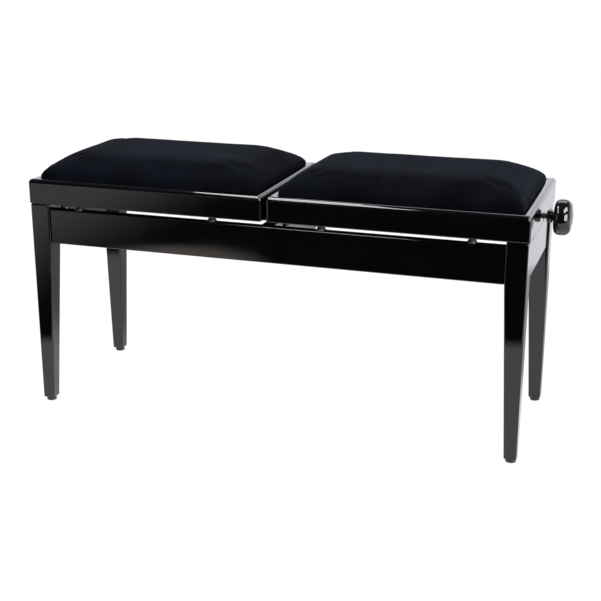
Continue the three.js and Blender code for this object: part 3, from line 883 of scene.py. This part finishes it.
# %% Cushions
for side, _ in SIDES:
    node = f"cushion_{side}"
    low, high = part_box(node)
    crown = high.z - 3.5 * MM
    cushion = remeshed(cushion_start(f"velvet_{node}", low, high, crown), 5 * MM)
    filled(cushion, low)
    tucked(cushion, low, high)
    cushion.data.shade_smooth()
    smooth = cushion.modifiers.new("smooth_cover", "SUBSURF")
    smooth.levels = 1
    smooth.render_levels = 1
    applied(cushion)
    cushion.data.shade_smooth()
    fitted(cushion, velvet, f"seat_{side}", "velvet", node)
    top = max(v.co.z for v in cushion.data.vertices)
    print(cushion.name, "points:", len(cushion.data.vertices), "top:", round(top / MM, 1), "mm")
bpy.context.scene.frame_set(1)

# %% [markdown]
# ## Studio
# Black lacquer shows its surroundings and little else, so the studio is drawn with care. The
# floor and the sweep behind are white, and the floor glows to the camera. Mirrors see painted
# reflections on the floor instead: white near the bench, dark further out in front and a painted
# brown patch ahead on the left, which leaves the front faces black, the lower legs grey and a brown
# painted reflection low on the front rail. A long soft box hangs overhead and draws the highlight
# on the rounded edges, and two windows at the right show in the knob. Those and one more box only
# reflect, so that the velvet stays dark.

# %% Floor and sky
def sum_of(tree, *pairs):
    """The sum of value times weight for each (value, weight)."""
    total = None
    for value, weight in pairs:
        part = add(tree, "ShaderNodeMath", {0: value, 1: weight}, operation="MULTIPLY").outputs[0]
        total = part if total is None else add(tree, "ShaderNodeMath", {0: total, 1: part},
                                               operation="ADD").outputs[0]
    return total


def step_of(tree, value, start, end, low=0.0, high=1.0):
    """A soft step from low to high as the value goes from start to end."""
    node = add(tree, "ShaderNodeMapRange", {"Value": value, "From Min": start, "From Max": end,
                                            "To Min": low, "To Max": high},
               interpolation_type="SMOOTHSTEP")
    return node.outputs["Result"]


def floor_material():
    """White paper that glows to the camera. Mirrors see painted reflections on it: bright near the
    bench and far behind, dark in front, and a brown patch ahead on the left.
    """
    material = bpy.data.materials.new("studio floor")
    material.use_nodes = True
    tree = material.node_tree
    tree.nodes.clear()
    place = add(tree, "ShaderNodeSeparateXYZ",
                {"Vector": add(tree, "ShaderNodeNewGeometry").outputs["Position"]})
    x, y = place.outputs["X"], place.outputs["Y"]
    bend = add(tree, "ShaderNodeMath", {0: x, 1: x}, operation="MULTIPLY").outputs[0]
    level = sum_of(tree, (y, 1.0), (x, 0.26), (bend, -0.12))
    near = step_of(tree, level, -0.78, -0.69, 0.02, 1.3)
    dimmer = step_of(tree, y, 0.05, 0.35, 0.0, 0.75)
    behind = step_of(tree, sum_of(tree, (y, 1.0), (x, 1.2)), 1.8, 2.0, 0.0, 0.65)
    lamp_room = step_of(tree, x, -0.77, -1.4, 0.0, 0.82)
    # painted brown reflection: a warm glowing patch ahead on the left, seen only in mirrors, that
    # lays a brown reflection on the front rail
    centre = add(tree, "ShaderNodeVectorMath", {0: add(tree, "ShaderNodeCombineXYZ", {
        "X": sum_of(tree, (x, 1.0), (1.0, 0.65)), "Y": sum_of(tree, (y, 1.3), (1.0, 1.56)),
    }).outputs[0]}, operation="LENGTH").outputs["Value"]
    brown_reflection_patch = step_of(tree, centre, 0.31, 0.15, 0.0, 1.0)
    grey = sum_of(tree, (near, 1.0), (dimmer, -1.0), (behind, 1.0), (lamp_room, 1.0))
    reflection_colour = add(tree, "ShaderNodeMix", {0: brown_reflection_patch, "A": (0.97, 0.95, 1.0, 1),
                                       "B": (1.0, 0.86, 0.76, 1)}, data_type="RGBA")
    power = sum_of(tree, (grey, 1.0), (brown_reflection_patch, 1.35))
    # the floor's glow for glossy rays only: painted reflections drawn from the masks above
    reflected = add(tree, "ShaderNodeEmission", {"Strength": power})
    tree.links.new(reflection_colour.outputs["Result"], reflected.inputs["Color"])
    paint = add(tree, "ShaderNodeBsdfDiffuse", {"Color": (0.92, 0.92, 0.93, 1)})
    glow = add(tree, "ShaderNodeEmission", {"Color": (1, 1, 1, 1), "Strength": 1.06})
    seen = add(tree, "ShaderNodeMixShader", {0: 0.1, 1: glow.outputs[0], 2: paint.outputs[0]})
    rays = add(tree, "ShaderNodeLightPath").outputs
    plain = add(tree, "ShaderNodeMixShader", {0: rays["Is Camera Ray"], 1: paint.outputs[0],
                                              2: seen.outputs[0]})
    mix = add(tree, "ShaderNodeMixShader", {0: rays["Is Glossy Ray"], 1: plain.outputs[0],
                                            2: reflected.outputs[0]})
    out = add(tree, "ShaderNodeOutputMaterial")
    tree.links.new(mix.outputs[0], out.inputs["Surface"])
    return material


floor = boxed("studio_floor", (-9, -9, -0.02), (9, 9, -0.0002))
floor.data.materials.append(floor_material())


def studio_world():
    """White to the camera, soft grey to rough surfaces, and a drawn room to mirrors."""
    world = bpy.data.worlds.new("studio")
    bpy.context.scene.world = world
    world.use_nodes = True
    tree = world.node_tree
    tree.nodes.clear()
    way = add(tree, "ShaderNodeSeparateXYZ",
              {"Vector": add(tree, "ShaderNodeTexCoord").outputs["Generated"]})
    back = add(tree, "ShaderNodeMapRange", {"Value": way.outputs["Y"], "From Min": -0.1,
                                            "From Max": 0.35, "To Min": 0.0, "To Max": 1.0})
    height = ramp_of(tree, way.outputs["Z"], [(0.0, (1.75, 1.7, 1.9)), (0.38, (1.35, 1.32, 1.42)),
                                              (0.50, (0.4, 0.4, 0.44)), (0.7, (0.12, 0.12, 0.13))])
    front = ramp_of(tree, way.outputs["Z"], [(0.0, (0.02, 0.02, 0.022)), (0.3, (0.03, 0.03, 0.035)),
                                             (0.7, (0.05, 0.05, 0.06)), (1.0, (0.14, 0.14, 0.15))])
    room = add(tree, "ShaderNodeMix", {0: back.outputs["Result"]}, data_type="RGBA")
    tree.links.new(front, room.inputs["A"])
    tree.links.new(height, room.inputs["B"])
    rays = add(tree, "ShaderNodeLightPath").outputs
    seen = add(tree, "ShaderNodeBackground", {"Color": (1, 1, 1, 1), "Strength": 1.02})
    soft = add(tree, "ShaderNodeBackground", {"Color": (0.95, 0.97, 1.0, 1), "Strength": 0.55})
    mirror = add(tree, "ShaderNodeBackground", {"Color": room.outputs["Result"], "Strength": 1.0})
    first = add(tree, "ShaderNodeMixShader", {0: rays["Is Glossy Ray"], 1: soft.outputs[0],
                                              2: mirror.outputs[0]})
    last = add(tree, "ShaderNodeMixShader", {0: rays["Is Camera Ray"], 1: first.outputs[0],
                                             2: seen.outputs[0]})
    out = add(tree, "ShaderNodeOutputWorld")
    tree.links.new(last.outputs[0], out.inputs["Surface"])
    return world


print("world:", studio_world().name)

# %% Soft boxes
def soft_box(name, spot, target, width, height, power, tint=(1, 1, 1), only_gloss=False):
    """A rectangular lamp that faces the target; only_gloss makes it a pure reflection."""
    lamp = bpy.data.lights.new(name, "AREA")
    lamp.shape = "RECTANGLE"
    lamp.size = width
    lamp.size_y = height
    lamp.energy = power
    lamp.color = tint
    box = bpy.data.objects.new(name, lamp)
    box.location = spot
    aim = (Vector(target) - Vector(spot)).to_track_quat("-Z", "Y")
    box.rotation_mode = "QUATERNION"
    box.rotation_quaternion = aim
    box.visible_camera = False
    box.visible_diffuse = not only_gloss
    bpy.context.scene.collection.objects.link(box)
    return box


soft_box("overhead_box", (-0.52, -1.05, 2.1), (-0.52, -1.04, 0), 0.62, 1.5, 30)
soft_box("overhead_gloss", (-0.54, -1.05, 2.1), (-0.54, -1.04, 0), 0.58, 2.1, 90, only_gloss=True)
soft_box("rear_box", (0.2, 1.7, 2.5), (0, 0, 0.4), 2.2, 1.0, 22, (0.95, 0.97, 1.0))
soft_box("window_upper", (1.64, -0.8, 2.18), (0.54, 0, 0.43), 2.0, 1.0, 88, only_gloss=True)
soft_box("window_lower", (2.09, -1.35, 0.68), (0.54, 0, 0.43), 1.6, 1.25, 88, only_gloss=True)

# %% [markdown]
# ## Camera
# The camera stands in front and to the right of the bench at a little above its height, with a
# short telephoto lens, so both seats, the end face and one knob are in view. The standard view
# transform keeps the paper white and the lacquer black.

# %% Camera
AIM = Vector((0.016, 0.0, 0.217))
DISTANCE = 2.448
AZIMUTH = math.radians(18.44)
ELEVATION = math.radians(17.75)

lens = bpy.data.cameras.new("camera")
lens.lens = 72.3
lens.sensor_width = 36
camera = bpy.data.objects.new("camera", lens)
back = Vector((math.sin(AZIMUTH) * math.cos(ELEVATION), -math.cos(AZIMUTH) * math.cos(ELEVATION),
               math.sin(ELEVATION)))
camera.location = AIM + back * DISTANCE
camera.rotation_mode = "QUATERNION"
camera.rotation_quaternion = (-back).to_track_quat("-Z", "Y")
bpy.context.scene.collection.objects.link(camera)
bpy.context.scene.camera = camera
bpy.context.scene.view_settings.view_transform = "Standard"
print("camera at", [round(v, 3) for v in camera.location])
